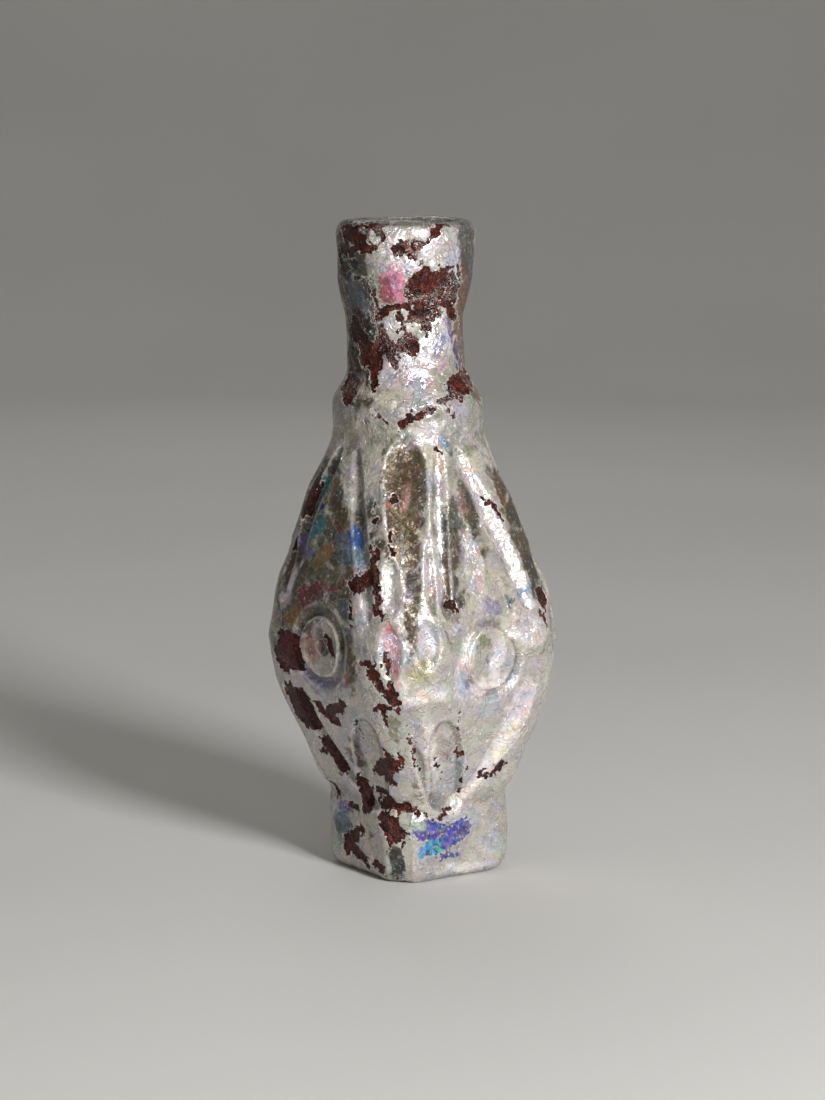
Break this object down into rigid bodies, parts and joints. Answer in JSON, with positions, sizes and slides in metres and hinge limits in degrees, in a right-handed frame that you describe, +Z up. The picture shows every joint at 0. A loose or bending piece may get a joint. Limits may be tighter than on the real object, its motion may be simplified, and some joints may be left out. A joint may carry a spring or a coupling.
{
  "type": "wheel-cut glass bottle",
  "caption": "Small wheel-cut glass flask with a square foot, a swelling four-sided body with ringed discs and strokes, a ringed shoulder and a plain round neck.",
  "frame": {"origin": "the middle of the bottle's box on the ground plane, under its square foot", "axes": "+Z up, from the foot to the mouth; the four faces of the body look along +X, -X, +Y and -Y, and the pictured corner lies between -X and -Y"},
  "size_m": [0.0316, 0.0316, 0.085],
  "materials": {
    "weathered_glass": "milky, pearly weathering crust, satin and iridescent, flaked off in patches to a dark red-brown layer"
  },
  "bodies": {
    "root": {"glass_bottle": "weathered_glass"}
  },
  "joints": []
}
